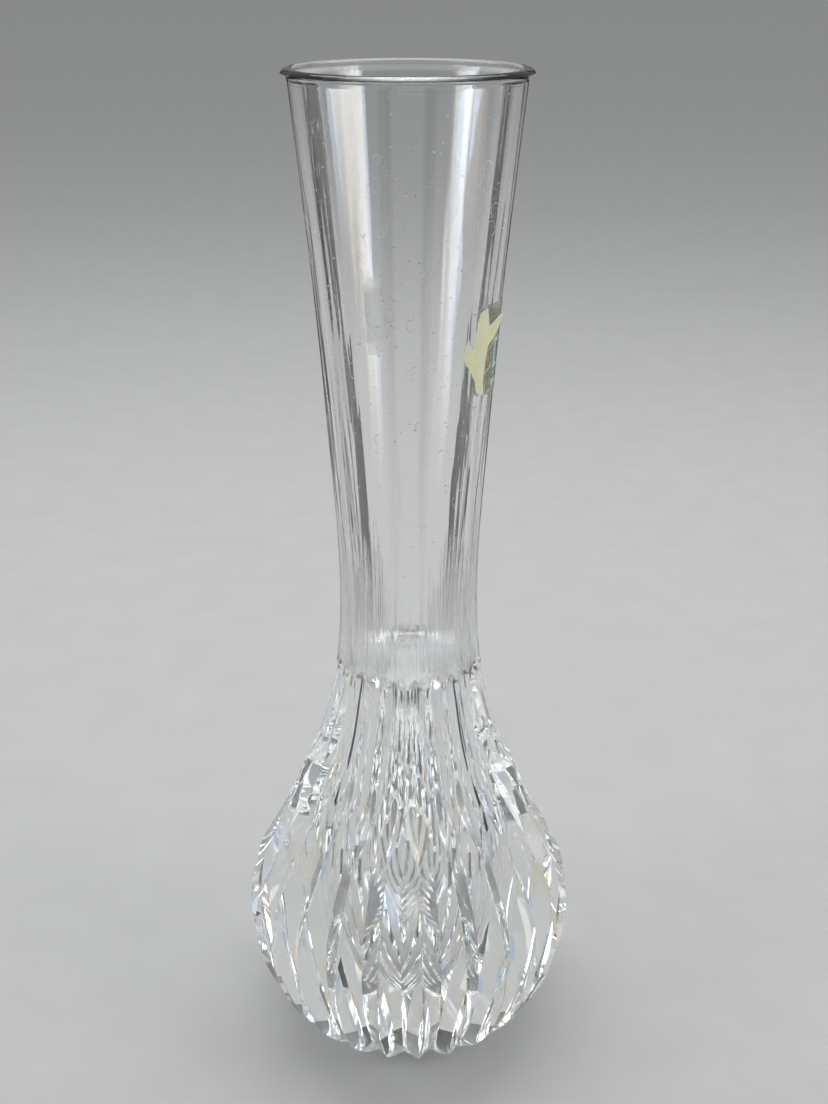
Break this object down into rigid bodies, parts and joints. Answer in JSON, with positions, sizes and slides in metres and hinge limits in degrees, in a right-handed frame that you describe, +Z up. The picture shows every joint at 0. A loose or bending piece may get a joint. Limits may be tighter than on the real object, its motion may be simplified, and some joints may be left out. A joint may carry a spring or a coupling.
{
  "type": "glass bud vase",
  "caption": "Clear cut-crystal bud vase: flared round stem, narrow neck and a heavy round bulb covered in upright V cuts, with a torn label left on the stem.",
  "frame": {"origin": "middle of the flat foot that the vase stands on", "axes": "+Z up along the vase's axis; -Y is the front, with the torn label round to the right of it, towards +X"},
  "size_m": [0.0696, 0.0696, 0.203],
  "materials": {
    "crystal": "clear polished lead crystal with dried water marks on the stem",
    "label_glue": "thin film of dried glue with paper fibres in it",
    "label_paper": "cream paper sticker, torn, matte",
    "label_foil": "dark-green printed foil, creased"
  },
  "bodies": {
    "root": {"vase_body": "crystal", "label_glue": "label_glue", "label_paper": "label_paper", "label_foil": "label_foil"}
  },
  "joints": []
}
